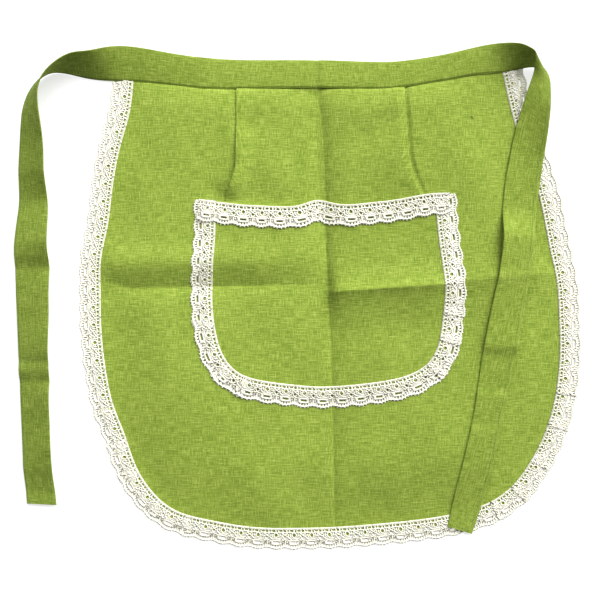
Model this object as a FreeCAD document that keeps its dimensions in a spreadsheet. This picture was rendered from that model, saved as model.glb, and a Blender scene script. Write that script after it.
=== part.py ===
"""Linen half apron with cluny lace, laid flat.

Frame: the origin is the middle of the waistband on its underside, X runs along the waistband,
Y from the hem up to the waistband, and Z is up. Millimetres.
"""
import FreeCAD, Part
import math
import os
import re
import Sketcher

SIZES = {
    # cloth
    "cloth": 0.6,              # one layer of linen
    "lace_thickness": 0.8,
    "thread": 0.2,             # height of a row of stitches
    "thread_width": 0.6,
    "clearance": 0.4,          # between pieces that lie on each other but move apart
    # waistband
    "band_width": 28,
    "band_past": 13,           # the band runs this far past the skirt's left corner
    "band_past_right": 4,
    "band_left_radius": 622,   # each end of the band curves upward
    "band_right_radius": 360,
    "band_left_angle": 10.8,   # degrees that it turns
    "band_right_angle": 19,
    "fold_wall": 1.2,          # depth of the fold along the waistband's top
    # skirt: half widths and drops below the waistband's centre line
    "skirt_top_left": 194,
    "skirt_top_right": 193,
    "skirt_left": 228,
    "skirt_right": 248,
    "widest_drop": 240,
    "corner_drop_left": 352,
    "corner_drop_right": 375,
    "corner_inset": 20,
    "hem_left": 115,
    "hem_right": 130,
    "skirt_length": 460,
    "hem_bow": 12,             # how far the bottom edge bows below its ends
    "side_bow_left": 6,
    "side_bow_right": 9,
    "corner_radius": 132,
    "lower_side_radius": 328,
    "hem_turn": 8,             # turned-under edge
    "lace_over": 9,            # lace lying on the cloth
    "lace_out": 13,            # lace standing past the cloth's edge
    "stitch_in": 6,            # stitch row, in from the cloth's edge
    # pocket
    "pocket_top": 124,         # drop of the pocket's top edge
    "pocket_top_rise": 6,      # the right end is this much nearer the waistband
    "pocket_left": 115,
    "pocket_right": 134,
    "pocket_top_right": 122,
    "pocket_side_drop": 232,
    "pocket_bottom": 314,
    "pocket_corner_side": 292,
    "pocket_corner_inset": 11,
    "pocket_bottom_left": 67,
    "pocket_bottom_right": 60,
    "pocket_corner_right": 116,
    "pocket_corner_lift": 20,
    "pocket_left_radius": 190,
    "pocket_corner_radius": 38,
    "pocket_hem_radius": 700,
    "pocket_rounding": 160,
    "pocket_lower_radius": 70,
    "pocket_right_radius": 900,
    "pocket_top_lace_width": 24,
    # ties
    "tie_width": 30,
    "tie_plies": 3,            # cloth layers, taken as one solid
    "left_tie_gap": 28,        # between the left tie and the skirt's lace
    "tie_corner_drop": 17,     # the left tie turns this far below the band's end
    "left_tie_length": 422,
    "right_tie_length": 463,
    "fold_run": 17,            # the right tie's fold, past the band's end
    "fold_drop": 18,
    "fold_angle": 66.6,        # degrees between the fold line and X
    "tie_thread_in": 3,
}

TOP = 70                       # guide outlines run this far above the waistband's centre line
FAR = 400

doc = FreeCAD.newDocument("apron")
sheet = doc.addObject("Spreadsheet::Sheet", "Sizes")
for row, (alias, number) in enumerate(SIZES.items(), start=1):
    sheet.set(f"A{row}", alias)
    sheet.set(f"B{row}", str(number))
    sheet.setAlias(f"B{row}", alias)
doc.recompute()


def size(alias):
    return float(getattr(sheet, alias))


def named(formula):
    """Writes a formula of sheet aliases, such as band_width / 2, as a document expression."""
    return re.sub(r"[a-z_]+", lambda word: "Sizes." + word[0] if word[0] in SIZES else word[0], str(formula))


def value(formula):
    return float(sheet.evalExpression(named(formula)))


def outline(name, corners):
    """A closed sketch through corners of (x, y, radius): a straight side where the radius is None,
    else an arc to the next corner, to the left of the way there for a negative radius."""
    sketch = doc.addObject("Sketcher::SketchObject", name)
    points = [FreeCAD.Vector(value(x), value(y), 0) for x, y, _ in corners]
    starts = []
    for i, (_, _, radius) in enumerate(corners):
        a, b = points[i], points[(i + 1) % len(points)]
        if radius is None:
            sketch.addGeometry(Part.LineSegment(a, b), False)
            starts.append((1, 2))
            continue
        reach = value(radius)
        half = (b - a) * 0.5
        side = FreeCAD.Vector(half.y, -half.x, 0).normalize()
        depth = math.sqrt(max(reach * reach - half.Length ** 2, 0))
        bulge = math.copysign(1, reach)
        centre = a + half - side * depth * bulge
        ends = [math.atan2(p.y - centre.y, p.x - centre.x) for p in (a, b)]
        circle = Part.Circle(centre, FreeCAD.Vector(0, 0, 1), abs(reach))
        if bulge > 0:
            sketch.addGeometry(Part.ArcOfCircle(circle, ends[0], ends[1]), False)
            starts.append((1, 2))
        else:
            sketch.addGeometry(Part.ArcOfCircle(circle, ends[1], ends[0]), False)
            starts.append((2, 1))
    for i, (x, y, radius) in enumerate(corners):
        following = (i + 1) % len(corners)
        sketch.addConstraint(Sketcher.Constraint(
            "Coincident", i, starts[i][1], following, starts[following][0]))
        for kind, formula, where in (("DistanceX", x, points[i].x), ("DistanceY", y, points[i].y)):
            at = sketch.addConstraint(Sketcher.Constraint(kind, -1, 1, i, starts[i][0], where))
            sketch.setExpression(f"Constraints[{at}]", named(formula))
        if radius is not None:
            at = sketch.addConstraint(Sketcher.Constraint("Radius", i, abs(value(radius))))
            sketch.setExpression(f"Constraints[{at}]", named(f"abs({radius})"))
    return sketch


def raised(name, source, base, height):
    """A flat outline or face made into a slab from base upward."""
    slab = doc.addObject("Part::Extrusion", name)
    slab.Base = source
    slab.DirMode = "Custom"
    slab.Dir = FreeCAD.Vector(0, 0, 1)
    slab.Solid = True
    slab.setExpression("LengthFwd", named(height))
    slab.setExpression("Placement.Base.z", named(base))
    return slab


def grown(name, source, distance):
    """The outline moved outward by a distance, or inward by a negative one."""
    moved = doc.addObject("Part::Offset2D", name)
    moved.Source = source
    moved.Join = "Arc"
    moved.setExpression("Value", named(distance))
    return moved


def combined(kind, name, base, tool):
    joined = doc.addObject(kind, name)
    joined.Base = base
    joined.Tool = tool
    return joined


def border(name, source, outward, inward, base, height, cutter):
    """A strip that follows an outline from inward to outward of it, cut off along its open top.
    It ends on the outline itself where outward is None."""
    rim = source if outward is None else grown(name + "_outside", source, outward)
    outer = raised(name + "_outer", rim, base, height)
    inner = raised(name + "_inner", grown(name + "_inside", source, inward), base, height)
    strip = combined("Part::Cut", name + "_ring", outer, inner)
    return combined("Part::Cut", name, strip, cutter)


def node(piece, label):
    piece.Label = label
    nodes.append(piece)
    return piece


nodes = []

# ---------------------------------------------------------------- waistband
straight_left = "(skirt_top_left + band_past - band_left_radius * sin(band_left_angle * 1deg))"
straight_right = "(skirt_top_right + band_past_right - band_right_radius * sin(band_right_angle * 1deg))"


def band_edge(offset):
    """The four corners of a line that runs along the waistband, offset from its centre line."""
    left = f"(band_left_radius - ({offset}))"
    right = f"(band_right_radius - ({offset}))"
    return [
        (f"0 - {straight_left} - {left} * sin(band_left_angle * 1deg)",
         f"band_left_radius - {left} * cos(band_left_angle * 1deg)", left),
        (f"0 - {straight_left}", offset, None),
        (straight_right, offset, right),
        (f"{straight_right} + {right} * sin(band_right_angle * 1deg)",
         f"band_right_radius - {right} * cos(band_right_angle * 1deg)", None),
    ]


def band_strip(name, low, high, base, height):
    """A slab along the waistband between two offsets from its centre line."""
    bottom = band_edge(low)
    top = band_edge(high)
    back = [(top[3][0], top[3][1], f"0 - ({top[2][2]})"), (top[2][0], top[2][1], None),
            (top[1][0], top[1][1], f"0 - ({top[0][2]})"), (top[0][0], top[0][1], None)]
    return raised(name, outline(name + "_outline", bottom + back), base, height)


def above_band(name, offset):
    """Everything above a line along the waistband, for cutting open tops."""
    edge = band_edge(offset)
    corners = [(-FAR, edge[0][1], None)] + edge[:3]
    corners += [(edge[3][0], edge[3][1], None), (FAR, edge[3][1], None),
                (FAR, FAR, None), (-FAR, FAR, None)]
    return raised(name, outline(name + "_outline", corners), -1, 10)


half_band = "band_width / 2"
back_layer = band_strip("band_back", f"0 - {half_band}", half_band, 0, "cloth")
front_layer = band_strip("band_front", f"0 - {half_band}", half_band, "2 * cloth", "cloth")
band_fold = band_strip("band_fold", f"{half_band} - fold_wall", half_band, "cloth", "cloth")
layers = combined("Part::Fuse", "band_layers", back_layer, front_layer)
node(combined("Part::Fuse", "waistband", layers, band_fold), "waistband")

# ---------------------------------------------------------------- skirt
def bow_radius(chord_x, chord_y, bow):
    """Radius of an arc over a chord with a given bow, as a formula."""
    chord = f"(({chord_x}) * ({chord_x}) + ({chord_y}) * ({chord_y}))"
    return f"({chord} / 4 + {bow} * {bow}) / (2 * {bow})"


skirt_guide = outline("skirt_guide", [
    ("0 - skirt_top_left", TOP, None),
    ("0 - skirt_top_left", 0, bow_radius("skirt_left - skirt_top_left", "widest_drop", "side_bow_left")),
    ("0 - skirt_left", "0 - widest_drop", "lower_side_radius"),
    ("corner_inset - skirt_left", "0 - corner_drop_left", "corner_radius"),
    ("0 - hem_left", "hem_bow - skirt_length", bow_radius("hem_left + hem_right", 0, "hem_bow")),
    ("hem_right", "hem_bow - skirt_length", "corner_radius"),
    ("skirt_right - corner_inset", "0 - corner_drop_right", "lower_side_radius"),
    ("skirt_right", "0 - widest_drop",
     bow_radius("skirt_right - skirt_top_right", "widest_drop", "side_bow_right")),
    ("skirt_top_right", 0, None),
    ("skirt_top_right", TOP, None),
])
panel_cutter = above_band("skirt_top_cut", 0)
trim_cutter = above_band("skirt_trim_cut", f"0 - {half_band}")
skirt_face = combined("Part::Cut", "skirt_face",
                      raised("skirt_slab", skirt_guide, "cloth", "cloth"), panel_cutter)
skirt_hem = border("skirt_hem", skirt_guide, None, "0 - hem_turn", 0, "cloth", trim_cutter)
node(combined("Part::Fuse", "skirt_panel", skirt_face, skirt_hem), "skirt_panel")
node(border("skirt_lace", skirt_guide, "lace_out", "0 - lace_over", "2 * cloth", "lace_thickness",
            trim_cutter), "skirt_lace")
node(border("skirt_lace_stitching", skirt_guide, "thread_width - stitch_in", "0 - stitch_in",
            "2 * cloth + lace_thickness", "thread", trim_cutter), "skirt_lace_stitching")

# ---------------------------------------------------------------- pocket
pocket_guide = outline("pocket_guide", [
    ("0 - pocket_left", 0, None),
    ("0 - pocket_left", "0 - pocket_side_drop", "pocket_left_radius"),
    ("pocket_corner_inset - pocket_left", "0 - pocket_corner_side", "pocket_corner_radius"),
    ("0 - pocket_bottom_left", "0 - pocket_bottom", "pocket_hem_radius"),
    ("pocket_bottom_right", "0 - pocket_bottom", "pocket_rounding"),
    ("pocket_corner_right", "pocket_corner_lift - pocket_bottom", "pocket_lower_radius"),
    ("pocket_right", "0 - pocket_side_drop", "pocket_right_radius"),
    ("pocket_top_right", "0 - pocket_top", None),
    ("pocket_top_right", 0, None),
])


def above_pocket(name, drop):
    """Everything above a line parallel to the pocket's top edge."""
    corners = [
        (-FAR, f"0 - pocket_top - ({drop})", None),
        ("0 - pocket_left", f"0 - pocket_top - ({drop})", None),
        ("pocket_top_right", f"pocket_top_rise - pocket_top - ({drop})", None),
        (FAR, f"pocket_top_rise - pocket_top - ({drop})", None),
        (FAR, FAR, None),
        (-FAR, FAR, None),
    ]
    return raised(name, outline(name + "_outline", corners), -1, 10)


pocket_cutter = above_pocket("pocket_top_cut", 0)
pocket_base = "3 * cloth"
pocket_front = "4 * cloth"
pocket_face = combined("Part::Cut", "pocket_face",
                       raised("pocket_slab", pocket_guide, pocket_base, "cloth"), pocket_cutter)
pocket_hem = border("pocket_hem", pocket_guide, None, "0 - hem_turn", "2 * cloth", "cloth", pocket_cutter)
node(combined("Part::Fuse", "pocket_panel", pocket_face, pocket_hem), "pocket_panel")
node(border("pocket_side_lace", pocket_guide, "lace_out", "0 - lace_over", pocket_front,
            "lace_thickness", pocket_cutter), "pocket_side_lace")
node(border("pocket_stitching", pocket_guide, "thread_width - stitch_in", "0 - stitch_in",
            f"{pocket_front} + lace_thickness", "thread", pocket_cutter), "pocket_stitching")
inside = raised("pocket_inside", grown("pocket_inside_line", pocket_guide, "0 - lace_over - clearance"),
                pocket_front, "lace_thickness")
top_strip = combined("Part::Cut", "pocket_top_strip", inside, pocket_cutter)
below = above_pocket("pocket_lace_foot", "pocket_top_lace_width")
node(combined("Part::Common", "pocket_top_lace", top_strip, below), "pocket_top_lace")

# ---------------------------------------------------------------- ties
tie_thickness = "tie_plies * cloth"
thick = value(tie_thickness)
width = size("tie_width")
joint_gap = thick / 2 + size("clearance")
LIFT = 0.02                    # keeps the ties' undersides just off the ground


def section(name, middle, across, along):
    """A rectangle as wide and thick as the tie, set square to the way that the tie runs."""
    half_width, half_thickness = "tie_width / 2", f"{tie_thickness} / 2"
    sketch = outline(name, [
        (f"0 - {half_width}", f"0 - {half_thickness}", None), (half_width, f"0 - {half_thickness}", None),
        (half_width, half_thickness, None), (f"0 - {half_width}", half_thickness, None)])
    x_axis = FreeCAD.Vector(*across).normalize()
    z_axis = FreeCAD.Vector(*along)
    y_axis = z_axis.cross(x_axis)
    sketch.Placement = FreeCAD.Placement(FreeCAD.Matrix(
        x_axis.x, y_axis.x, z_axis.x, middle.x,
        x_axis.y, y_axis.y, z_axis.y, middle.y,
        x_axis.z, y_axis.z, z_axis.z, middle.z,
        0, 0, 0, 1))
    return sketch


def ribbon(name, stations):
    """A strip that rests on the ground through stations of (x, y, tip, heading), in degrees: tip is how
    far its far edge has turned up and over, and heading is the way that it runs, from X."""
    sections = []
    for i, (x, y, tip, heading) in enumerate(stations):
        turn, lean = math.radians(heading), math.radians(tip)
        rise = width / 2 * math.sin(lean) + thick / 2 * abs(math.cos(lean)) + LIFT
        along = (math.cos(turn), math.sin(turn), 0)
        across = (math.sin(turn) * math.cos(lean), -math.cos(turn) * math.cos(lean), math.sin(lean))
        sections.append(section(f"{name}_{i}", FreeCAD.Vector(x, y, rise), across, along))
    strip = doc.addObject("Part::Loft", name)
    strip.Sections = sections
    strip.Solid = True
    strip.Ruled = True
    return strip


def corner_of(edge, index):
    return FreeCAD.Vector(value(edge[index][0]), value(edge[index][1]), 0)


# the left tie leaves the band, stands up on its stitched edge at the corner and lies down the other way
band_left = corner_of(band_edge(0), 0)
tie_x = -size("skirt_left") - size("lace_out") - size("left_tie_gap") - width / 2
corner = FreeCAD.Vector(tie_x, band_left.y - size("tie_corner_drop"), 0)
way_in = 200                   # heading as it reaches the corner
reach = FreeCAD.Vector(math.cos(math.radians(way_in)), math.sin(math.radians(way_in)), 0)
start = corner - reach * joint_gap
step = start - band_left
node(ribbon("left_tie_bend", [
    (band_left.x, band_left.y, 0, 180 - size("band_left_angle")),
    (band_left.x + 0.28 * step.x, band_left.y, 38, 182),
    (band_left.x + 0.6 * step.x, band_left.y + 0.3 * step.y, 72, 190),
    (start.x, start.y, 90, way_in),
]), "left_tie_bend")
tail = corner.y - size("left_tie_length")
flat_from = corner.y - 105     # where the tie has come to lie flat
node(ribbon("left_tie", [
    (corner.x, corner.y, 90, 230),
    (corner.x - 4, corner.y - 18, 118, 255),
    (corner.x - 2, corner.y - 42, 142, 268),
    (corner.x, corner.y - 78, 170, 270),
    (corner.x, flat_from, 180, 270),
    (corner.x - 2, corner.y - 200, 180, 270),
    (corner.x + 6, tail, 180, 272),
]), "left_tie")

# the right tie rolls over a slanted line and comes back across the skirt
slant = math.radians(size("fold_angle"))
fold_way = FreeCAD.Vector(math.cos(slant), -math.sin(slant), 0)
fold_middle = corner_of(band_edge(0), 3) + FreeCAD.Vector(size("fold_run"), -size("fold_drop"), 0)
fold_half = width * 0.56       # the fold line is longer than the tie is wide, because it slants
fold_top = fold_middle - fold_way * fold_half
fold_bottom = fold_middle + fold_way * fold_half
band_low, band_high = (corner_of(band_edge(f"{sign} {half_band}"), 3) for sign in ("0 - ", ""))
under_fold = FreeCAD.Vector(fold_middle.x - 7, band_low.y + size("clearance"), 0)
turning = [band_low, under_fold, fold_bottom, fold_top, fold_top + FreeCAD.Vector(-4, 11, 0), band_high]
node(raised("right_tie_bend", outline("right_bend_outline", [(p.x, p.y, None) for p in turning]),
            0, tie_thickness), "right_tie_bend")

# it lies above everything on the skirt, so it clears the pocket at any size
tie_base = f"{pocket_front} + lace_thickness + thread + clearance"
lie = [(0, 0), (-1, -62), (-17, -155), (-29, -235)]
tail_way = FreeCAD.Vector(-0.219, -0.976, 0)
middles = [fold_middle + FreeCAD.Vector(dx, dy, 0) for dx, dy in lie]
laid = sum((b - a).Length for a, b in zip(middles, middles[1:]))
middles.append(middles[-1] + tail_way * (size("right_tie_length") - laid))


def beside(points, distance):
    """The points of a line moved sideways, to the right of the way it runs."""
    moved = []
    for i, point in enumerate(points):
        ahead = points[min(i + 1, len(points) - 1)] - points[max(i - 1, 0)]
        side = FreeCAD.Vector(ahead.y, -ahead.x, 0).normalize()
        moved.append(point + side * distance)
    return moved


def laid_strip(name, points, near, far, base, height):
    """A flat strip beside a line of points, between two distances to the right of it."""
    there = beside(points, near)
    back = beside(points, far)[::-1]
    corners = [(p.x, p.y, None) for p in there + back]
    return raised(name, outline(name + "_outline", corners), base, height)


tie_outline = [fold_bottom] + beside(middles, -width / 2)[1:]
tie_outline += beside(middles, width / 2)[:0:-1] + [fold_top]
node(raised("right_tie", outline("right_tie_outline", [(p.x, p.y, None) for p in tie_outline]),
            tie_base, tie_thickness), "right_tie")
row = width / 2 - size("tie_thread_in")
stitch = size("thread_width")
node(laid_strip("right_tie_stitching", middles[1:], -row, stitch - row,
                f"{tie_base} + {tie_thickness}", "thread"), "right_tie_stitching")
flat_part = [FreeCAD.Vector(corner.x, flat_from, 0), FreeCAD.Vector(corner.x - 2, corner.y - 200, 0),
             FreeCAD.Vector(corner.x + 6, tail, 0)]
node(laid_strip("left_tie_stitching", flat_part, row - stitch, row,
                f"{tie_thickness} + {LIFT}", "thread"), "left_tie_stitching")

# ---------------------------------------------------------------- checks and files
doc.recompute()
for thing in doc.Objects:
    if {"Invalid", "Error"} & set(thing.State):
        raise RuntimeError(f"{thing.Label} failed: {thing.State}")
os.makedirs("parts", exist_ok=True)
for piece in nodes:
    if piece.Shape.isNull() or not piece.Shape.isValid():
        raise RuntimeError(f"{piece.Label} has no valid shape")
    piece.Shape.exportStep(f"parts/{piece.Label}.step")
    box = piece.Shape.BoundBox
    print(f"{piece.Label:24s} {len(piece.Shape.Solids)} solid  {piece.Shape.Volume:9.1f} mm3  "
          f"X {box.XMin:7.1f} {box.XMax:7.1f}  Y {box.YMin:7.1f} {box.YMax:7.1f}  "
          f"Z {box.ZMin:5.2f} {box.ZMax:5.2f}")
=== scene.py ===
import math

import bpy
import numpy as np
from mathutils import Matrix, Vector


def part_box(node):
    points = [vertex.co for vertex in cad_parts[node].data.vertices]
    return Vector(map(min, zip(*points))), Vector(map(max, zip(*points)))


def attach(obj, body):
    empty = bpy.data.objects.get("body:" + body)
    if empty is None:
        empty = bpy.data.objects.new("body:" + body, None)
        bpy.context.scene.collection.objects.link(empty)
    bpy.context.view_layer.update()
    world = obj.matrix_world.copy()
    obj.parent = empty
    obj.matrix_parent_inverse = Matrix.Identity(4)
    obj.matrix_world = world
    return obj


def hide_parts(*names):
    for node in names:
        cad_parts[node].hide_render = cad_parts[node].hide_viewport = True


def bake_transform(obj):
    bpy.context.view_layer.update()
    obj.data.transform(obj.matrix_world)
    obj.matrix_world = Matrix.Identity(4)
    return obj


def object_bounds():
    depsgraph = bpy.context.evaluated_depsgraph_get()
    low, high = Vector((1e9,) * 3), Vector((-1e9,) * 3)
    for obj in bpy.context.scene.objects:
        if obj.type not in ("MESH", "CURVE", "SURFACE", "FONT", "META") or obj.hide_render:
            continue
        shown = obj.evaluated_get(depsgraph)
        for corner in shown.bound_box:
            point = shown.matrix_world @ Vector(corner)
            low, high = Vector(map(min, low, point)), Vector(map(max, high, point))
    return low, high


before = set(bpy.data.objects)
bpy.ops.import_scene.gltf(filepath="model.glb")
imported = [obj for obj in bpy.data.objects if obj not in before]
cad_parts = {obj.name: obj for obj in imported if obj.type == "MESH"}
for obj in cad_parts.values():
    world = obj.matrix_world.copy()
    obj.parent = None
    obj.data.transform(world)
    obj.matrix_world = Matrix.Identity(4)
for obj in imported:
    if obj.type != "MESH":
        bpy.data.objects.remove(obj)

# places are in millimetres from the frame's origin, the middle of the waistband's back, until makePiece
cadBounds = [list(map(float, corner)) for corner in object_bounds()]


def smooth(t):
    t = np.clip(t, 0, 1)
    return t * t * (3 - 2 * t)  # eases in and out, 0 to 1


def naturalSpline(knots, values, at):
    # cubic pieces that share slope and curvature at each knot, with no curvature at either end
    knots, values, at = (np.asarray(a, float) for a in (knots, values, at))
    gaps = np.diff(knots)
    slopes = np.diff(values, axis=0) / gaps[:, None]
    bands = (np.diag(np.r_[1, 2 * (gaps[1:] + gaps[:-1]), 1])
             + np.diag(np.r_[gaps[:-1], 0], -1) + np.diag(np.r_[0, gaps[1:]], 1))
    still = np.zeros((1, values.shape[1]))
    bend = np.linalg.solve(bands, np.vstack([still, 6 * np.diff(slopes, axis=0), still]))
    k = np.clip(np.searchsorted(knots, at, 'right') - 1, 0, len(gaps) - 1)
    step = gaps[k][:, None]
    b = (at - knots[k])[:, None] / step
    a = 1 - b
    return a * values[k] + b * values[k + 1] + ((a**3 - a) * bend[k] + (b**3 - b) * bend[k + 1]) * step**2 / 6


def chordLengths(points):
    return np.r_[0, np.cumsum(np.linalg.norm(np.diff(points, axis=0), axis=1))]


def readRows(at, run, table):
    # the columns of a table read at places along its run
    return np.stack([np.interp(at, run, column) for column in table.T], axis=-1)


def evenPath(points, gap):
    # spline through the points against chord length, read again at even distances along it
    points = np.asarray(points, float)
    chords = chordLengths(points)
    fine = naturalSpline(chords, points, np.linspace(0, chords[-1], 6001))
    run = chordLengths(fine)
    at = np.linspace(0, run[-1], int(round(run[-1] / gap)) + 1)
    return at, readRows(at, run, fine)


def outwardNormals(path):
    # the tangent turned a quarter turn to the right, which is outwards on a path that runs anticlockwise
    tangent = np.gradient(path, axis=0)
    tangent /= np.linalg.norm(tangent, axis=1)[:, None]
    return np.stack([tangent[:, 1], -tangent[:, 0]], axis=1)


def gridFaces(rows, columns, wrap=False):
    # quads over a grid of rows x columns vertices; wrap joins the last column to the first
    index = np.arange(rows * columns).reshape(rows, columns)
    if wrap:
        index = np.hstack([index, index[:, :1]])
    return np.stack([index[:-1, :-1], index[:-1, 1:], index[1:, 1:], index[1:, :-1]], axis=-1).reshape(-1, 4)


def makePiece(name, verts, faces, uv, material, millimetre=0.001):
    # verts in millimetres, faces as quads, uv one pair for each vertex in millimetres of cloth
    mesh = bpy.data.meshes.new(name)
    mesh.vertices.add(len(verts))
    mesh.vertices.foreach_set('co', (np.asarray(verts) * millimetre).astype(np.float32).ravel())
    faces = np.asarray(faces)
    mesh.loops.add(faces.size)
    mesh.loops.foreach_set('vertex_index', faces.ravel().astype(np.int32))
    mesh.polygons.add(len(faces))
    mesh.polygons.foreach_set('loop_start', np.arange(0, faces.size, 4, dtype=np.int32))
    mesh.polygons.foreach_set('use_smooth', np.ones(len(faces), dtype=bool))
    layer = mesh.uv_layers.new(name='weave')
    layer.data.foreach_set('uv', (np.asarray(uv) * millimetre)[faces.ravel()].astype(np.float32).ravel())
    mesh.update(calc_edges=True)
    mesh.validate()
    mesh.materials.append(material)
    piece = bpy.data.objects.new(name, mesh)
    bpy.context.scene.collection.objects.link(piece)
    return piece


def thicken(piece, thickness):
    # gives the cloth its thickness, then keeps the corners of its cut edges crisp
    layer = piece.modifiers.new('clothThickness', 'SOLIDIFY')
    layer.thickness = thickness * 0.001
    layer.offset = 0
    layer.use_even_offset = False
    bpy.context.view_layer.update()
    solid = bpy.data.meshes.new_from_object(piece.evaluated_get(bpy.context.evaluated_depsgraph_get()))
    piece.modifiers.clear()
    piece.data = solid
    solid.set_sharp_from_angle(angle=math.radians(65))


class Wire:  # a node's output that can stand in a sum
    def __init__(self, tree, socket=None):
        self.tree = tree
        self.socket = socket

    def node(self, kind, settings=None, sockets=None, output=0):
        made = self.tree.nodes.new(kind)
        for key, value in (settings or {}).items():
            if key == 'stops':
                stops = made.color_ramp.elements
                for place, colour in value[1:-1]:
                    stops.new(place).color = colour
                for stop, (place, colour) in ((stops[0], value[0]), (stops[-1], value[-1])):
                    stop.position = place
                    stop.color = colour
            else:
                setattr(made, key, value)
        for key, value in (sockets or {}).items():
            if isinstance(value, Wire):
                self.tree.links.new(value.socket, made.inputs[key])
            else:
                made.inputs[key].default_value = value
        return Wire(self.tree, made.outputs[output]) if made.outputs else None

    def maths(self, operation, *values, clamp=False):
        settings = {'operation': operation, 'use_clamp': clamp}
        return self.node('ShaderNodeMath', settings, dict(enumerate(values)))

    def __add__(self, other):
        return self.maths('ADD', self, other)

    def __sub__(self, other):
        return self.maths('SUBTRACT', self, other)

    def __mul__(self, other):
        return self.maths('MULTIPLY', self, other)

    __radd__ = __add__
    __rmul__ = __mul__

    def __rsub__(self, other):
        return self.maths('SUBTRACT', other, self)

    def mixed(self, first, second):  # colours mixed by this wire
        return self.node('ShaderNodeMix', {'data_type': 'RGBA'}, {0: self, 6: first, 7: second}, 2)

    def noise(self, where, scale, detail=2, rough=0.5):
        return self.node('ShaderNodeTexNoise', {'noise_dimensions': '3D'},
                         {'Vector': where, 'Scale': scale, 'Detail': detail, 'Roughness': rough})

    def stretched(self, where, scale):
        return self.node('ShaderNodeMapping', None, {'Vector': where, 'Scale': scale})

    def ramp(self, where, places, greys=(0, 1)):
        stops = [(place, (grey, grey, grey, 1)) for place, grey in zip(places, greys)]
        return self.node('ShaderNodeValToRGB', {'stops': stops}, {0: where})


def newMaterial(name):
    material = bpy.data.materials.new(name)
    material.use_nodes = True
    tree = material.node_tree
    tree.nodes.clear()
    return material, Wire(tree)


def finishMaterial(wire, colour, roughness, bump, fixed):
    # fixed holds the shader's own unlinked values
    links = {'Base Color': colour, 'Roughness': roughness, 'Normal': bump}
    shader = wire.node('ShaderNodeBsdfPrincipled', None, {**fixed, **links})
    wire.node('ShaderNodeOutputMaterial', None, {'Surface': shader})


linenLook = {
    'threadPitch': 0.62,  # mm from thread to thread
    'slubs': [(1250, 95, 1), (78, 1200, 1)],  # streaks across and along, in repeats to the metre
    'fine': [(2000, 420, 1), (400, 1900, 1)],
    'cloud': 16,
    'mottle': 480,
    'balance': -2.78,  # brings the sum of the streaks to between deep and light
    'thickFrom': (0.58, 0.72),  # streaks past this are thick threads
    'thickShare': 0.42,
    'deep': (0.170, 0.258, 0.0265, 1),
    'light': (0.372, 0.480, 0.079, 1),
    'pale': (0.490, 0.585, 0.140, 1),  # the odd thick thread
    'roughness': 0.86,
    'relief': 0.0006,
}


def makeLinen(name, edgeShade=None, shade=None):
    # two sets of streaks, one for each thread direction, over a plain over-and-under weave
    material, wire = newMaterial(name)
    place = wire.node('ShaderNodeUVMap', {'uv_map': 'weave'})
    across = wire.node('ShaderNodeSeparateXYZ', None, {0: place}, 0)
    along = wire.node('ShaderNodeSeparateXYZ', None, {0: place}, 1)
    warpSlub, weftSlub = (wire.noise(wire.stretched(place, scale), 1, 2, 0.6) for scale in linenLook['slubs'])
    warpFine, weftFine = (wire.noise(wire.stretched(place, scale), 1, 1) for scale in linenLook['fine'])
    turns = math.pi / (linenLook['threadPitch'] * 0.001)
    ribs = wire.maths('ABSOLUTE', wire.maths('SINE', across * turns) * wire.maths('SINE', along * turns))
    cloud = wire.noise(place, linenLook['cloud'], 3, 0.55)
    mottle = wire.noise(place, linenLook['mottle'], 2, 0.6)
    streaks = (warpSlub + weftSlub * 1.25) * 1.8 + (warpFine + weftFine) * 0.8 + mottle * 0.3 + cloud * 0.35
    tone = wire.maths('ADD', streaks + ribs * 0.25, linenLook['balance'], clamp=True)
    thick = wire.ramp(weftSlub, linenLook['thickFrom']) + wire.ramp(warpSlub, linenLook['thickFrom'])
    body = tone.mixed(linenLook['deep'], linenLook['light'])
    cloth = (thick * linenLook['thickShare']).mixed(body, linenLook['pale'])
    if edgeShade:  # painted shade: a dark line along the sewn edge, where shade gathers under the edge and less light comes through the turned-in layers
        offset = wire.maths('ABSOLUTE', along - edgeShade['place'] * 0.001) * (1000 / edgeShade['wide'])
        line = wire.maths('SUBTRACT', 1, offset, clamp=True) * edgeShade['depth']
        cloth = line.mixed(cloth, [c * 0.4 for c in linenLook['deep'][:3]] + [1])
    if shade:  # painted shade: the strip is darkened along its length where it turns away from the light
        length = shade[-1][0]
        run = (across - clothStart[0] * 0.001) * (1000 / length)
        depth = wire.ramp(run, [place / length for place, value in shade], [value for place, value in shade])
        cloth = depth.mixed((0, 0, 0, 1), cloth)
    height = (warpSlub + weftSlub) * 0.6 + ribs * 0.35 + (warpFine + weftFine) * 0.35
    relief = {'Strength': 0.8, 'Distance': linenLook['relief'], 'Height': height}
    bump = wire.node('ShaderNodeBump', None, relief)
    finishMaterial(wire, cloth, linenLook['roughness'] + warpSlub * 0.1, bump,
                   {'Sheen Weight': 0.03, 'Sheen Roughness': 0.5, 'Specular IOR Level': 0.06})
    return material


def makeThread(name, deep, light, twist, sheen=0.1):
    # plies wound round the thread: slanted bands along its own length
    material, wire = newMaterial(name)
    place = wire.node('ShaderNodeUVMap', {'uv_map': 'weave'})
    along = wire.node('ShaderNodeSeparateXYZ', None, {0: place}, 0)
    around = Wire(wire.tree, along.socket.node.outputs[1])
    ply = wire.maths('SINE', (along + around * 0.6) * (2 * math.pi / (twist * 0.001)))
    objectPlace = wire.node('ShaderNodeTexCoord', None, None, 3)
    cloud = wire.noise(objectPlace, 210, 3, 0.6)
    tone = wire.maths('ADD', ply * 0.18 + cloud * 1.3, -0.12, clamp=True)
    height = ply * 0.5 + cloud * 0.5
    bump = wire.node('ShaderNodeBump', None, {'Strength': 0.6, 'Distance': 0.0002, 'Height': height})
    finishMaterial(wire, tone.mixed(deep, light), 0.8 + cloud * 0.15, bump,
                   {'Sheen Weight': sheen, 'Specular IOR Level': 0.2})
    return material


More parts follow.
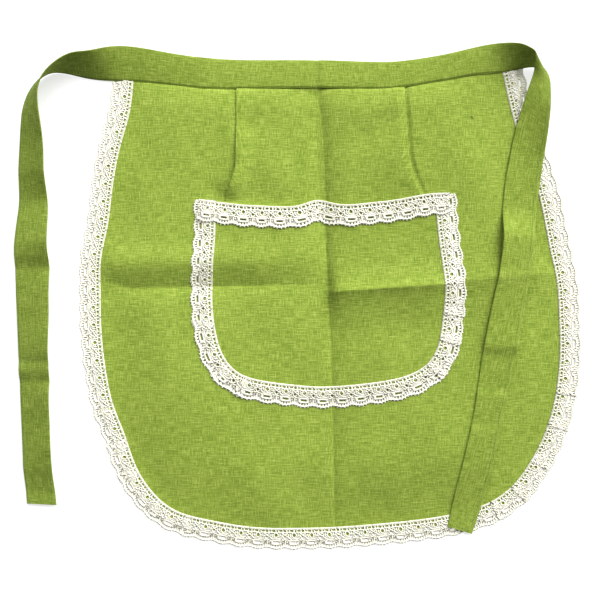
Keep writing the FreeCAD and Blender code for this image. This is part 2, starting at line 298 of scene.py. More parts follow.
clothStart = (700, 300)  # where the strip lies in the weave, in mm
# painted shade along the front sewn edge: its place across the weave and its width in mm, and how dark it is
sewnEdgePaintedShade = {'place': 309.3, 'wide': 1.4, 'depth': 0.7}
# painted shade along the strip, as (mm along, share of colour kept): the left tie is darker where it tilts
# away from the light, and darkest at the two rolled corners
stripPaintedShade = [
    (0, 0.74), (410, 0.74), (450, 0.68), (486, 0.66), (506, 0.86), (545, 0.95), (590, 0.99), (860, 0.99),
    (888, 0.88), (906, 0.7), (926, 0.68), (946, 0.86), (990, 0.95), (1402, 0.95)]
linenFlat = makeLinen('greenLinen')
linenFolded = makeLinen('greenLinenFolded', sewnEdgePaintedShade, stripPaintedShade)
laceCotton = makeThread('creamLaceCotton', (0.80, 0.775, 0.61, 1), (0.93, 0.92, 0.81, 1), 0.7)
creamThread = makeThread('creamSewingThread', (0.70, 0.68, 0.50, 1), (0.88, 0.87, 0.74, 1), 0.5)
greenThread = makeThread('greenSewingThread', (0.21, 0.31, 0.055, 1), (0.33, 0.44, 0.10, 1), 0.5)
print('finishes ready')

panelLow, panelHigh = (np.array(corner) * 1000 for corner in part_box('skirt_panel'))

skirt = {
    # cloth edge from the top left corner round to the top right: shares of the panel's width and drop
    'edge': [
        (0.07, -0.012), (0.061, 0.078), (0.045, 0.139), (0.023, 0.261), (0.0157, 0.322), (0.003, 0.388),
        (0, 0.475), (0.001, 0.536), (0.0136, 0.658), (0.028, 0.723), (0.0514, 0.786), (0.0734, 0.851),
        (0.111, 0.915), (0.164, 0.961), (0.237, 0.984), (0.34, 1.001), (0.424, 1.003), (0.508, 1.001),
        (0.611, 0.993), (0.747, 0.975), (0.852, 0.939), (0.892, 0.908), (0.9295, 0.858), (0.965, 0.7865),
        (0.984, 0.723), (0.9945, 0.661), (0.9987, 0.597), (0.997, 0.52), (0.991, 0.44), (0.979, 0.381),
        (0.9547, 0.257), (0.925, 0.166), (0.897, 0.074), (0.874, -0.04)],
    'drop': 459,  # from the waistband's middle line to the lowest cloth edge
    'bottomLeft': 0.362,  # where the left side becomes the bottom, as a share of the edge
    'bottomRight': 0.640,
    'step': 3.4,  # mm between grid lines
    'thickness': 0.42,
    'hem': 8,
    'lift': 6.2,  # how far the middle stands off the surface
    'edgeLift': 1.5,
    'span': 470,
    'denseAcross': [(0.286, 0.027, 42), (0.714, 0.027, 42), (0.5, 0.03, 26)],  # place, reach, lines added
    'denseDown': [(0.43, 0.04, 24), (0.02, 0.03, 12)],
}


def skirtEdgePoints():
    share = np.array(skirt['edge'])
    across = panelHigh[0] - panelLow[0]
    return np.stack([panelLow[0] + share[:, 0] * across, -share[:, 1] * skirt['drop']], axis=1)


edgeRun, edgePath = evenPath(skirtEdgePoints(), 1.0)
edgeOut = outwardNormals(edgePath)
lowest = np.argmin(edgePath[:, 1])
leftHalf, rightHalf = edgePath[:lowest], edgePath[lowest:]

creases = {
    # down the middle: a valley, given as (y, x) and (y, depth), with its reach to the left and the right
    'middle': [(14, 0), (-18, -2), (-47, 0), (-76, 2), (-124, 4), (-214, 8), (-324, 12.6), (-450, 14.6)],
    'valleyDepth': [(14, 1.8), (-14, 3.4), (-40, 7.2), (-120, 8), (-160, 6.6), (-300, 2.6), (-450, 0.9)],
    'valleyReach': (24, 10),
    'lineDepth': 0.8,  # the pressed line itself
    'lineReach': (1.2, 2.6),
    # across the left half: a valley with a swell above it, fading in towards the middle as (x, share)
    'leftLevel': -211,
    'leftSlope': 0.022,
    'leftFade': [(-110, 1), (-70, 0.8), (-20, 0.4), (20, 0)],
    'leftDepth': 5.2,
    'leftReach': (10, 14),
    'leftSwell': {'height': 3.8, 'above': 25, 'half': 15},
    # across the right half: a ridge with a hollow below it
    'rightLine': [(8, -216), (124, -208), (144, -204), (236, -196)],
    'rightFade': [(20, 1), (110, 1), (135, 0.5), (240, 0.35)],
    'rightHeight': 8.2,
    'rightReach': (14, 17),
    'rightHollow': {'depth': 1.8, 'below': 40, 'half': 20},
    'waves': [(0.5, 31, 47, 0), (0.4, -61, 23, 1), (0.22, 11, 17, 0)],  # height, mm across and down, start
}


def bump(distance, width):
    return np.exp(-(distance / width) ** 2)  # a soft hump


def fold(distance, reach):
    # a pressed line: sharp at the middle, falling away over its own reach on each side
    return np.exp(-np.abs(distance) / np.where(distance < 0, *reach))


def spanOf(rows, y):
    # a table of (y, value) rows, from the top down
    return np.interp(-y, [-row[0] for row in rows], [row[1] for row in rows])


def insideCloth(x, y):
    # millimetres in from the cloth's edge, taken level and straight down, whichever is less
    left = np.interp(-y, -leftHalf[:, 1], leftHalf[:, 0])
    right = np.interp(y, rightHalf[:, 1], rightHalf[:, 0])
    bottom = np.interp(x, edgePath[lowest - 190:lowest + 200, 0], edgePath[lowest - 190:lowest + 200, 1])
    return np.minimum(np.minimum(x - left, right - x), y - bottom)


bandFoot = [
    (-207, -4.7), (-183, -6), (-140, -9.8), (-120, -12.4), (-89, -13.4), (-7, -12.4), (60, -13), (87, -11),
    (122, -4.5), (149, 0), (160, 1.5), (183, 3.5), (200, 7)]
dents = [  # x, y, half width, height
    (-72, -45, 13, -3), (-66, -107, 16, -4), (46, -62, 11, -2.2), (62, -52, 10, -2.2),
    (-101, -121, 10, -4.2), (-44, -122, 10, -1), (72, -42, 9, -1.6), (-192, -254, 22, -1.4),
    (-170, -114, 25, 1.2), (-15, -414, 18, -1.2), (-120, -300, 45, 1), (120, -330, 50, 1.2),
    (150, -90, 30, 1.1), (60, -400, 35, 0.8), (-60, -420, 30, 0.8), (190, -260, 30, 0.9)]


def bandFootAt(x):
    # lower edge of the waistband: level in the middle and rising to each side
    return np.interp(x, *np.array(bandFoot).T)


def clothHeight(x, y):
    # a low mound that drops to its edges, plus valleys, ridges, dents and waves, all fading out at the edge
    inside = insideCloth(x, y)
    flat = smooth(inside / 80) * smooth((bandFootAt(x) - y + 15) / 40)
    z = skirt['edgeLift'] + skirt['lift'] * flat
    fromMiddle = x - spanOf(creases['middle'], y)
    near = smooth((inside + 2) / 30)
    z -= near * spanOf(creases['valleyDepth'], y) * fold(fromMiddle, creases['valleyReach'])
    z -= near * creases['lineDepth'] * fold(fromMiddle, creases['lineReach'])
    leftLine = creases['leftLevel'] + creases['leftSlope'] * (x + 127)
    leftShare = smooth((40 - fromMiddle) / 55) * smooth(inside / 25)
    leftShare = leftShare * np.interp(x, *np.array(creases['leftFade']).T)
    swell = creases['leftSwell']
    z += leftShare * swell['height'] * bump(y - leftLine - swell['above'], swell['half'])
    z -= leftShare * creases['leftDepth'] * fold(y - leftLine, creases['leftReach'])
    rightLine = np.interp(x, *np.array(creases['rightLine']).T)
    rightShare = smooth((fromMiddle + 4) / 14) * smooth(inside / 25)
    rightShare = rightShare * np.interp(x, *np.array(creases['rightFade']).T)
    hollow = creases['rightHollow']
    z += rightShare * creases['rightHeight'] * fold(y - rightLine, creases['rightReach'])
    z -= rightShare * hollow['depth'] * bump(y - rightLine + hollow['below'], hollow['half'])
    for px, py, half, height in dents:
        z += height * bump(np.hypot(x - px, (y - py) * 0.8), half) * near
    for height, across, down, start in creases['waves']:
        z += near * height * np.sin(x / across + y / down + start)
    return np.maximum(z, 0.9)


tucks = {  # pressed folds below the waistband, middle panel on top
    'left': {'side': -1, 'groove': 0.3,
             'rows': [(0, -83), (-14, -83), (-89, -83.4), (-99, -85.8), (-112, -90.5), (-127, -94),
                      (-150, -96)],
             'rise': [(0, 2), (-40, 2.4), (-75, 3.4), (-96, 6.2), (-108, 6.6), (-117, 3.6), (-124, 0)]},
    'right': {'side': 1, 'groove': 0.75,
              'rows': [
            (0, 83.6), (-27, 83.8), (-46, 85.2), (-81, 87.4), (-92, 90.3), (-107, 94), (-120, 99),
            (-150, 103)],
              'rise': [(0, 2), (-75, 2.3), (-100, 2.3), (-112, 1.6), (-124, 0)]},
    'depth': [(0, 5.5), (-89, 5), (-105, 3.6), (-122, 1.6), (-138, 0)],
    'half': 5,  # mm of flat cloth each side of the fold's middle
    'fall': 26,  # mm over which the middle panel comes down again
    'grooveDeepest': 2.4,
}


def tuckMove(x, y):
    # sideways: out, back and out again across the fold; upwards: the middle panel climbs over the side panel
    moveX, moveZ = np.zeros_like(x), np.zeros_like(x)
    for name in ('left', 'right'):
        side = tucks[name]['side']
        depth, rise = spanOf(tucks['depth'], y), spanOf(tucks[name]['rise'], y)
        centre = spanOf(tucks[name]['rows'], y) - side * (depth - tucks['half'] / 2)
        q = (x - centre) * -side / tucks['half']  # runs from the side panel to the middle panel
        inside = np.abs(q) < 1
        moveX += np.where(inside, side * depth * np.sin(np.pi * np.clip(q, -1, 1)), 0)
        climb = 0.5 + 0.5 * np.sin(np.pi / 2 * np.clip(q, -1, 1))
        fall = np.exp(-np.maximum(q - 1, 0) * tucks['half'] / tucks['fall'])
        moveZ += rise * climb * fall
        groove = tucks[name]['groove'] * np.minimum(rise, tucks['grooveDeepest'])
        moveZ -= groove * bump((q + 0.95) * tucks['half'], 2.4)
    return moveX, moveZ


def denser(count, places):
    # an even row of shares with more lines close to the given places
    shares = [np.linspace(0, 1, count)]
    for place, reach, lines in places:
        shares.append(np.linspace(place - reach, place + reach, lines))
    row = np.unique(np.round(np.clip(np.concatenate(shares), 0, 1), 5))
    keep = np.r_[True, np.diff(row) > 0.0007]
    keep[-1] = True
    return row[keep]


def readAt(run, path, share):
    return readRows(share * run[-1], run, path)


def coonsPatch(top, left, bottom, right, p, r):
    # blends four edge lines; p runs left to right and r runs top to bottom
    p, r = p[None, :, None], r[:, None, None]
    sides = (1 - p) * left[:, None] + p * right[:, None]
    ends = (1 - r) * top[None] + r * bottom[None]
    corners = ((1 - p) * (1 - r) * top[0] + p * (1 - r) * top[-1]
               + (1 - p) * r * bottom[0] + p * r * bottom[-1])
    return sides + ends - corners


def hemmedPatch(name, verts, flat, rows, columns, hem, material, shift, full=False):
    # the edge row goes round and back under by the hem's width; full turns the top edge under as well
    faces = gridFaces(rows, columns)[:, ::-1]
    uv = flat.reshape(-1, 2)
    index = np.arange(len(verts)).reshape(rows, columns)
    rim = np.r_[index[:, 0], index[-1, 1:], index[-2::-1, -1]]
    if full:
        rim = np.r_[rim, index[0, -2::-1]]
    rimXY = verts[rim, :2]
    out = outwardNormals(rimXY)
    if full:  # at the sharp corners the hem is mitred
        out[[0, -1]] = (out[1] + out[-2]) / 2
    profile = [(0.35, -0.2), (0.3, -0.5), (-0.4, -0.62), (-4, -0.66), (-hem, -0.62)]  # outwards, upwards
    lines = [rim]
    for outwards, upwards in profile:
        line = np.column_stack([rimXY + out * outwards, verts[rim, 2] + upwards])
        lines.append(len(verts) + np.arange(len(rim)))
        uv = np.vstack([uv, uv[rim] + out * (1 - outwards)])
        verts = np.vstack([verts, line])
    lines = np.array(lines)
    turned = np.stack([lines[:-1, :-1], lines[1:, :-1], lines[1:, 1:], lines[:-1, 1:]], axis=-1)
    faces = np.vstack([faces, turned.reshape(-1, 4)])
    piece = makePiece(name, verts, faces, uv + shift, material)
    thicken(piece, skirt['thickness'])
    return piece


def makeSkirt():
    cutLeft, cutRight = skirt['bottomLeft'], skirt['bottomRight']
    p, r = (denser(int(skirt['span'] / skirt['step']), skirt[way]) for way in ('denseAcross', 'denseDown'))
    left = readAt(edgeRun, edgePath, cutLeft * r)
    right = readAt(edgeRun, edgePath, 1 - (1 - cutRight) * r)
    bottom = readAt(edgeRun, edgePath, cutLeft + (cutRight - cutLeft) * p)
    topX = left[0, 0] + (right[0, 0] - left[0, 0]) * p
    top = np.stack([topX, bandFootAt(topX) + 7], axis=1)
    left[:, 1] += (top[0, 1] - left[0, 1]) * (1 - r) ** 4
    right[:, 1] += (top[-1, 1] - right[0, 1]) * (1 - r) ** 4
    flat = coonsPatch(top, left, bottom, right, p, r)
    x, y = flat[..., 0], flat[..., 1]
    z = clothHeight(x, y)
    tucked = smooth((bandFootAt(x) + 1 - y) / 4.5)  # where the cloth goes into the waistband it lies flat
    z = z * tucked + 1.6 * (1 - tucked)
    moveX, moveZ = tuckMove(x, y)
    x = x + moveX
    z = z + moveZ * (0.45 + 0.55 * tucked)
    verts = np.stack([x, y, z], axis=-1).reshape(-1, 3)
    return hemmedPatch('skirtPanel', verts, flat, len(r), len(p), skirt['hem'], linenFlat, 0)


skirtPanel = makeSkirt()
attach(skirtPanel, 'apron')
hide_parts('skirt_panel')
print('skirt ready')

strip = {
    'corner': (-209.623, -14, 0),  # the waistband's lowest corner, which the stations are set out from
    # folded edge (x, y, z) and sewn edge (x, y, z), from the left tie's end to the right tie's end
    'leftTie': [
        (-263, -428, 3.4, -292, -427, 1.2), (-266, -398, 4.6, -295, -394, 1.1),
        (-267, -374, 8, -296, -374, 1.1), (-268.5, -345, 7.6, -297.5, -345, 1.1),
        (-269, -312, 8.6, -299, -312, 1.2), (-269, -299, 6.4, -299.5, -299, 1.1),
        (-269.5, -284, 8.8, -300, -284, 1.4), (-269.5, -240, 7.6, -302, -240, 1.2),
        (-270, -205, 6, -303.5, -205, 1.1), (-270, -187, 4.2, -304, -187, 1.1),
        (-270.5, -172, 7.8, -304, -172, 1.4), (-271, -140, 6, -301.5, -140, 1.1),
        (-272, -122, 4.4, -300, -122, 1), (-272.5, -98, 10, -299.5, -98, 1.2),
        (-272, -74, 13, -298, -70, 1.1), (-273.4, -46, 19, -296, -42, 1.1),
        (-274.5, -22, 24, -290, -18, 1.1), (-267.4, -4.6, 28, -277, -1.5, 1.1),
        (-245.7, 13.4, 28, -256, 2.7, 1.1), (-227, 17.6, 25, -232, -2.5, 1.1),
        (-210, 24, 15, -210, -4.9, 1.5)],
    'band': [
        (-187, 25.8, 10, -186, -6, 1.6), (-160, 22, 8, -161, -7.8, 1.6),
        (-120, 16.4, 6, -122, -12.4, 2), (-85, 14.6, 3.6, -89, -13.4, 2.2),
        (-40, 14.5, 2.2, -40, -12.6, 2.2), (0, 14.3, 1.7, 0, -12.4, 1.7), (40, 13.2, 2.2, 40, -13, 2.2),
        (76, 13.2, 2.2, 78, -12, 2.2), (96, 15.6, 2.2, 101, -8.5, 2.2), (128, 21, 2.9, 132, -3.2, 2.2),
        (155, 27, 4.2, 158, 1.2, 2)],
    'rightTie': [
        (179, 29.8, 8.5, 183, 3.5, 2), (196.7, 25.8, 20, 200, 7, 1.8), (205, 21, 23, 214, 8.4, 2.2),
        (209.5, 17, 22.5, 223, 5, 3.6), (210.6, 10.5, 17.5, 227, -3, 7.2),
        (211.5, 3, 11.5, 227.2, -15, 11.5), (208.4, -9, 9.5, 226.2, -29, 15.4),
        (202.5, -28, 7.6, 224.8, -47, 15.4), (195.6, -54, 4.6, 223.2, -65.5, 12.4),
        (190, -78.8, 3.8, 221.1, -83.8, 8.4), (183.6, -116, 3.5, 217, -117, 5.4),
        (181.6, -138, 3.8, 214.4, -140, 4.4), (181, -160, 6.6, 212, -165, 4.2),
        (178, -190, 5.6, 208.5, -193, 4.1), (172, -222, 3.4, 204, -218, 4.1),
        (163, -268, 2.9, 195.5, -268, 4.2), (151.5, -341, 2.8, 179.5, -344, 4.1),
        (139.5, -395, 2.9, 169, -398, 4), (127.5, -450, 3, 151, -457, 3.6)],
    'spread': [(-300, 0.8), (-190, 0.8), (-150, 1.35), (140, 1.35), (185, 0.8), (300, 0.8)],
    # pressed creases: straight slopes between knees, as (place, height added); ties by y, the band by x
    'pressed': {
        'leftTie': [
            (-428, 1), (-414, 0.2), (-392, 3), (-350, 1.6), (-305, 0.6), (-297, 3.2), (-292, 3.2),
            (-284, 1), (-281, 1.8), (-230, 1.2), (-192, 0.4), (-180, 3.6), (-169, 3.8), (-132, 0.2),
            (-124, 0.2), (-96, 4.6), (-40, 6.2), (8, 0)],
        'band': [
            (-200, 0), (-130, 0), (-117, 0.7), (-100, 0), (-60, 0.2), (-14, 0.8), (-2.5, 0), (0.8, 1.7),
            (40, 0.2), (92, 0.6), (100, 0), (140, 0)],
        'rightTie': [
            (-450, 0), (-352, 0.8), (-348, 0), (-318, 1), (-314, 0), (-278, 0.4), (-270, 2.8), (-226, 1.5),
            (-194, 0), (-160, 4.2), (-136, 0)],
    },
    'step': 2.6,
    'cloth': 0.38,
    'layer': 0.4,  # from the middle of one layer to the middle of the next
    'turn': 8,  # sewing allowance turned in
    'width': 30,
    'crown': 0.4,
}


def stripSection():
    # across share and layer height: allowance, sewn edge, front, folded edge, back, sewn edge, allowance
    layer, turn = strip['layer'], strip['turn'] / strip['width']
    front, back = 1.5 * layer, -1.5 * layer
    across = np.linspace(0, 1, 11)[1:-1]
    bulge = strip['crown'] * 4 * across * (1 - across)
    foldAngle = np.linspace(90, -90, 7) * np.pi / 180
    foldEdge = np.column_stack([1 + np.cos(foldAngle) * front / strip['width'], np.sin(foldAngle) * front])
    turnIn = [(turn, front - layer), (turn / 2, front - layer), (0.02, front - layer),
              (-0.004, front - layer / 2), (0.02, front)]
    turnOut = [(a, -h) for a, h in reversed(turnIn)]
    return np.array(turnIn + list(zip(across, front + bulge)) + [tuple(row) for row in foldEdge]
                    + list(zip(across[::-1], back + bulge[::-1] * 0.6)) + turnOut)


def wholeStrip():
    moved = np.array(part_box('waistband')[0]) * 1000 - strip['corner']
    both = np.array(strip['leftTie'] + strip['band'] + strip['rightTie']) + np.tile(moved, 2)
    knots = chordLengths((both[:, :3] + both[:, 3:]) / 2)
    at = np.arange(0, knots[-1], strip['step'])
    at = np.r_[at, knots[-1]]
    edges = naturalSpline(knots, both, at)
    folded, sewn = edges[:, :3], edges[:, 3:]
    first = len(strip['leftTie'])
    return at, folded, sewn, knots[first], knots[first + len(strip['band']) - 1]


stripAt, foldedEdge, sewnEdge, leftCut, rightCut = wholeStrip()
onSkirt = smooth((stripAt - rightCut - 95) / 30)  # the right tie lies on the skirt below the corner
for edge in (foldedEdge, sewnEdge):
    height = clothHeight(edge[:, 0], np.minimum(edge[:, 1], bandFootAt(edge[:, 0]) - 12))
    edge[:, 2] += onSkirt * np.maximum(height - 2.0, -1)
middleX = (foldedEdge[:, 0] + sewnEdge[:, 0]) / 2
onBand = (stripAt > leftCut - 30) & (stripAt < rightCut + 30)
stripSpread = np.where(onBand, np.interp(middleX, *np.array(strip['spread']).T), strip['spread'][0][1])
middleY = (foldedEdge[:, 1] + sewnEdge[:, 1]) / 2
for part, place, here in (('leftTie', middleY, stripAt < leftCut - 60), ('band', middleX, onBand),
                          ('rightTie', middleY, stripAt > rightCut + 150)):
    pressed = np.interp(place, *np.array(strip['pressed'][part]).T) * here
    foldedEdge[:, 2] += pressed
    sewnEdge[:, 2] += pressed
stripAcross = foldedEdge - sewnEdge
stripAlong = np.gradient((foldedEdge + sewnEdge) / 2, axis=0)
stripNormal = np.cross(stripAlong, stripAcross)
stripNormal /= np.linalg.norm(stripNormal, axis=1)[:, None]


def onStrip(at, across, height):
    # a place on the strip: distance along, share across from the sewn edge, height from its middle
    sewn, way, normal = (readRows(at, stripAt, table) for table in (sewnEdge, stripAcross, stripNormal))
    spread = np.interp(at, stripAt, stripSpread)
    return sewn + way * across[..., None] + normal * (height * spread)[..., None]


def stripPiece(name, start, end, cloth):
    section = stripSection()
    at = stripAt[(stripAt >= start - 0.01) & (stripAt <= end + 0.01)]
    rows, columns = np.meshgrid(at, np.arange(len(section)), indexing='ij')
    verts = onStrip(rows, section[columns, 0], section[columns, 1])
    clothAcross = chordLengths(section * [strip['width'], 1])
    uv = np.stack([rows, clothAcross[columns]], axis=-1) + clothStart
    piece = makePiece(name, verts.reshape(-1, 3), gridFaces(len(at), len(section)), uv.reshape(-1, 2), cloth)
    thicken(piece, strip['cloth'])
    return piece


leftCutAt = stripAt[np.argmin(abs(stripAt - leftCut))]
rightCutAt = stripAt[np.argmin(abs(stripAt - rightCut))]
leftTie = stripPiece('leftTie', 0, leftCutAt, linenFolded)
waistband = stripPiece('waistbandCloth', leftCutAt, rightCutAt, linenFolded)
rightTie = stripPiece('rightTie', rightCutAt, stripAt[-1], linenFolded)
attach(waistband, 'apron')
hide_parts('waistband')
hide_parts('left_tie_bend', 'left_tie')
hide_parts('right_tie_bend', 'right_tie')
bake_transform(leftTie)
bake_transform(rightTie)
print('waistband and ties ready')

pocketLow, pocketHigh = (np.array(corner) * 1000 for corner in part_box('pocket_panel'))

pocket = {
    # lace line from the top left round to the top right, and the top line from left to right: shares of the
    # pocket panel's width and height, measured from its top left corner
    'edge': [
        (0.044, 0.03), (0.044, 0.221), (0.036, 0.362), (0.034, 0.573), (0.048, 0.7), (0.078, 0.812),
        (0.136, 0.893), (0.2, 0.925), (0.323, 0.95), (0.451, 0.964), (0.579, 0.956), (0.707, 0.936),
        (0.82, 0.899), (0.88, 0.852), (0.917, 0.784), (0.941, 0.644), (0.95, 0.503), (0.941, 0.362),
        (0.926, 0.221), (0.912, 0.006)],
    'top': [
        (-0.02, 0.03), (0.068, 0.045), (0.132, 0.056), (0.26, 0.065), (0.387, 0.056), (0.451, 0.032),
        (0.515, 0.05), (0.643, 0.05), (0.771, 0.031), (0.9, 0.003), (0.97, 0)],
    'margin': 9,  # cloth outside the lace's inner edge
    'step': 2.7,
    'above': 1.15,
    'hem': 8,
    'puff': 0.5,
    'span': (250, 200),
    'denseAcross': [(0.49, 0.05, 18)],
    'denseDown': [(0.47, 0.10, 26)],
    'bottomLeft': 0.33,  # where the left side becomes the foot, as a share of the edge
    'bottomRight': 0.66,
}


def onPocket(shares):
    share = np.array(shares)
    size = pocketHigh - pocketLow
    return np.stack([pocketLow[0] + share[:, 0] * size[0], pocketHigh[1] - share[:, 1] * size[1]], axis=1)


pocketFootRun, pocketFoot = evenPath(onPocket(pocket['edge']), 1.0)
pocketOut = outwardNormals(pocketFoot)
pocketTopRun, pocketTop = evenPath(onPocket(pocket['top']), 1.0)


def pocketHeight(x, y):
    puff = pocket['puff'] * bump((x - 8) / 1.4, 95) * bump(y + 215, 75)
    return clothHeight(x, y) + pocket['above'] + puff


def makePocket():
    edge = pocketFoot + pocketOut * (pocket['margin'] - 1)
    run = chordLengths(edge)
    cutLeft, cutRight = pocket['bottomLeft'], pocket['bottomRight']
    p = denser(int(pocket['span'][0] / pocket['step']), pocket['denseAcross'])
    r = denser(int(pocket['span'][1] / pocket['step']), pocket['denseDown'])
    left, right = readAt(run, edge, cutLeft * r), readAt(run, edge, 1 - (1 - cutRight) * r)
    bottom = readAt(run, edge, cutLeft + (cutRight - cutLeft) * p)
    topX = left[0, 0] + (right[0, 0] - left[0, 0]) * p
    top = np.stack([topX, np.interp(topX, pocketTop[:, 0], pocketTop[:, 1])], axis=1)
    flat = coonsPatch(top, left, bottom, right, p, r)
    x, y = flat[..., 0], flat[..., 1]
    verts = np.stack([x, y, pocketHeight(x, y)], axis=-1).reshape(-1, 3)
    return hemmedPatch('pocketPanel', verts, flat, len(r), len(p), pocket['hem'], linenFlat, 1000, True)


pocketPanel = makePocket()
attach(pocketPanel, 'apron')
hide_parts('pocket_panel')
print('pocket ready')

lace = {
    'pitch': 17.8,  # one scallop
    'width': 22,
    'footing': 9,  # the part that lies on the cloth
    'thick': 0.55,
    # tucks taken up on the curves: mm along the edge, mm laid back
    'skirtPleats': [
        (350, 9), (384, 12), (414, 12.5), (452, 11), (489, 9), (805, 9), (834, 11), (870, 12), (911, 12.5),
        (943, 9)],
    'pocketPleats': [(122, 9.5), (168, 9), (188, 7), (375, 8), (402, 9), (428, 10)],
    # threads of one scallop: (along, across) from the straight edge, widths at start, middle and end, pieces
    'threads': [
        ([(0, 0.7), (17.8, 0.7)], (1.4, 1.4, 1.4), 4, False),
        ([(0, 1.7), (17.8, 1.7)], (1, 1, 1), 4, False),
        *[([(low, 1.6), (middle, 3.2), (high, 4.7)], (1.9, 1.8, 1.9), 2, False) for low, middle, high in (
            (1.1, 1.7, 1.3), (4.9, 4.4, 4.8), (8.3, 8.9, 8.5), (12, 11.4, 12), (15.4, 15.9, 15.5))],
        ([(0, 5), (4.4, 4.6), (8.9, 5.1), (13.4, 4.6), (17.8, 5)], (1.5, 1.5, 1.5), 6, False),
        ([(8.9, 5.1), (7, 6.5), (6.9, 8.3), (8.9, 10)], (1.2, 1.7, 1.4), 4, True),
        ([(5.6, 4.9), (4.7, 6.8), (5.5, 9), (7.8, 10.8)], (1.4, 1.7, 1.4), 3, True),
        ([(7.1, 7.6), (5, 7.4)], (1.4, 1.4, 1.4), 1, True),
        ([(0, 7.5), (2.2, 5.8), (3.4, 4.8)], (1.5, 1.7, 1.4), 2, True),
        ([(0, 7.5), (2.4, 8.7), (4.8, 7.5)], (1.5, 1.6, 1.5), 2, True),
        ([(2.4, 8.6), (3.1, 6.8), (2.2, 5.6)], (1.3, 1.4, 1.3), 2, True),
        ([(2.4, 8.6), (3.8, 10.4), (6, 11.6)], (1.5, 1.9, 1.6), 2, True),
        ([(0, 12.2), (1.5, 10.6), (2.4, 8.6)], (1.5, 1.7, 1.4), 2, True),
        ([(0, 12.2), (2.2, 12.8), (3.8, 10.8)], (1.6, 1.8, 1.4), 2, True),
        ([(0, 12.4), (0.1, 15.4), (0, 18.9)], (2.2, 1.9, 2.4), 3, False),
        ([(3.4, 12.9), (6.4, 11.5), (8.9, 11.2), (11.4, 11.5), (14.4, 12.9)], (1.8, 2.6, 1.8), 6, False),
        ([(3.6, 13.6), (6.4, 13.3), (8.9, 13.2), (11.4, 13.3), (14.2, 13.6)], (1.8, 2.5, 1.8), 5, False),
        ([(4, 13.4), (4.6, 14.9), (5, 16.3)], (3.4, 3.2, 2.6), 2, True),
        ([(1.4, 13.7), (3.2, 15.9), (6.2, 16.8), (8.9, 16.95), (11.6, 16.8), (14.6, 15.9), (16.4, 13.7)],
         (2.2, 2.3, 2.2), 8, False),
        ([(0, 19.1), (2.4, 19.4), (5.2, 20.2), (8.9, 20.8), (12.6, 20.2), (15.4, 19.4), (17.8, 19.1)],
         (1.9, 2, 1.9), 9, False),
        ([(8.9, 17.2), (8.9, 20.6)], (1.9, 1.6, 1.9), 1, False),
        ([(6.5, 17), (6.1, 20.2)], (2, 1.6, 1.9), 1, True),
        ([(4.3, 16.4), (3.5, 19.6)], (2, 1.7, 1.9), 1, True),
        ([(2.2, 15), (1.4, 19.1)], (2.3, 1.8, 2.1), 1, True),
        ([(0.2, 16), (2.4, 17), (3.8, 17.9)], (1.5, 1.5, 1.5), 2, True),
        ([(7.4, 20.7), (7.1, 21.6), (6.8, 22.3)], (2.4, 1.5, 0.5), 2, True),
        ([(4.6, 20), (4.2, 20.8), (3.8, 21.5)], (2.4, 1.5, 0.5), 2, True),
        ([(1.8, 19.4), (1.5, 20), (1.2, 20.6)], (2.2, 1.4, 0.5), 2, True),
    ],
}


def motifThreads():
    # each thread is a line with a flattened four-sided section, and a twin on the other half of the scallop
    shapes = []
    for number, (line, wide, pieces, twin) in enumerate(lace['threads']):
        points = np.array(line, float)
        knots = chordLengths(points)
        at = np.linspace(0, knots[-1], pieces * 2 + 1 if pieces > 1 else 2)
        path = naturalSpline(knots, points, at) if len(points) > 2 else readRows(at, knots, points)
        width = np.interp(at / at[-1], [0, 0.5, 1], wide)
        side = outwardNormals(path)
        level = 0.10 * ((number % 3) - 1)
        ring = np.array([(-0.5, 0), (0, 0.5), (0.5, 0), (0, -0.5)])
        flat = path[:, None] + side[:, None] * ring[None, :, 0:1] * width[:, None, None]
        up = level + ring[None, :, 1] * lace['thick'] * np.ones(len(at))[:, None]
        shape = np.concatenate([flat, up[..., None]], axis=2)
        shapes.append((shape, at))
        if twin:
            mirrored = shape[:, ::-1] * [-1, 1, 1] + [lace['pitch'], 0, 0]
            shapes.append((mirrored, at))
    return shapes


def laceMesh(name, reach, place):
    # whole scallops fill the reach, a little tighter or looser than the pitch
    repeats = int(round(reach / lace['pitch']))
    fit = reach / (repeats * lace['pitch'])
    verts, faces, uvs, first = [], [], [], 0
    for shape, at in motifThreads():
        rings, sides = shape.shape[:2]
        moved = shape[None] + np.arange(repeats)[:, None, None, None] * np.array([lace['pitch'], 0, 0])
        moved = moved.reshape(-1, 3)
        verts.append(moved)
        one = gridFaces(rings, sides, wrap=True)
        one = np.vstack([one, [[0, 1, 2, 3]], rings * 4 - np.array([[1, 2, 3, 4]])])  # closed ends
        many = one[None] + np.arange(repeats)[:, None, None] * (rings * sides)
        faces.append(many.reshape(-1, 4) + first)
        uv = np.stack(np.broadcast_arrays(at[:, None], np.arange(sides)[None] * 0.7), axis=-1)
        uvs.append(np.tile(uv.reshape(1, -1, 2), (repeats, 1, 1)).reshape(-1, 2))
        first += len(moved)
    flat = np.vstack(verts)
    placed = place(flat[:, 0] * fit, flat[:, 1], flat[:, 2])
    return makePiece(name, placed, np.vstack(faces), np.vstack(uvs), laceCotton)


